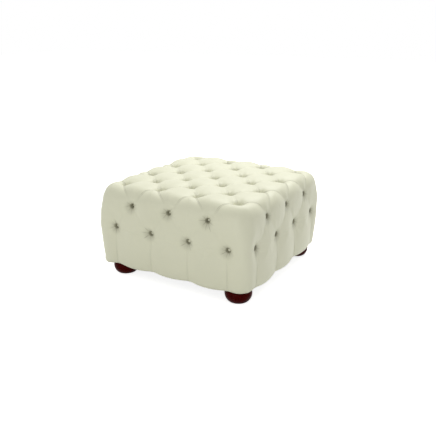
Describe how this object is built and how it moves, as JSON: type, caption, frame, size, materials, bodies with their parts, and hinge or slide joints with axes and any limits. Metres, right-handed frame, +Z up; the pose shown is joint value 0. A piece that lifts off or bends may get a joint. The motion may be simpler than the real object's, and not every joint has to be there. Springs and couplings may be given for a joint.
{
  "type": "footstool",
  "caption": "Low square footstool in smooth ivory leather, deep-buttoned in diamonds over its top and sides, on short turned mahogany bun feet.",
  "frame": {"origin": "on the floor, under the middle of the stool", "axes": "+Z up, -Y towards the front; the four sides are alike, and in the picture -Y is the side on the left and +X the side on the right"},
  "size_m": [0.6, 0.6, 0.338],
  "materials": {
    "leather": "smooth ivory leather, satin",
    "wadding": "white polyester wadding",
    "foam": "open-cell seating foam",
    "plywood": "birch plywood, sanded",
    "timber": "planed softwood",
    "screw_steel": "yellow zinc plate",
    "eye_steel": "zinc plate",
    "twine": "waxed twine",
    "washer_steel": "zinc plate",
    "dust_cloth": "black spun-bonded cloth",
    "staple_steel": "galvanised wire",
    "mahogany": "turned, stained dark mahogany, gloss lacquer",
    "bolt_steel": "zinc plate",
    "insert_steel": "yellow zinc plate",
    "glide_plastic": "moulded nylon"
  },
  "bodies": {
    "root": {"back_brace": "timber", "back_button_eyes": "eye_steel", "back_buttons": "leather", "back_foam": "foam", "back_left_block": "timber", "back_left_foot": "mahogany", "back_rail": "plywood", "back_right_block": "timber", "back_right_foot": "mahogany", "back_twines": "twine", "back_washers": "washer_steel", "block_screws": "screw_steel", "brace_screws": "screw_steel", "cover": "leather", "cover_staples": "staple_steel", "deck_board": "plywood", "deck_screws": "screw_steel", "dust_cover": "dust_cloth", "dust_cover_staples": "staple_steel", "foot_glides": "glide_plastic", "front_brace": "timber", "front_button_eyes": "eye_steel", "front_buttons": "leather", "front_foam": "foam", "front_left_block": "timber", "front_left_foot": "mahogany", "front_rail": "plywood", "front_right_block": "timber", "front_right_foot": "mahogany", "front_twines": "twine", "front_washers": "washer_steel", "hanger_bolts": "bolt_steel", "left_button_eyes": "eye_steel", "left_buttons": "leather", "left_foam": "foam", "left_rail": "plywood", "left_twines": "twine", "left_washers": "washer_steel", "rail_screws": "screw_steel", "right_button_eyes": "eye_steel", "right_buttons": "leather", "right_foam": "foam", "right_rail": "plywood", "right_twines": "twine", "right_washers": "washer_steel", "threaded_inserts": "insert_steel", "top_button_eyes": "eye_steel", "top_buttons": "leather", "top_foam": "foam", "top_twines": "twine", "top_washers": "washer_steel", "wadding": "wadding"}
  },
  "joints": []
}
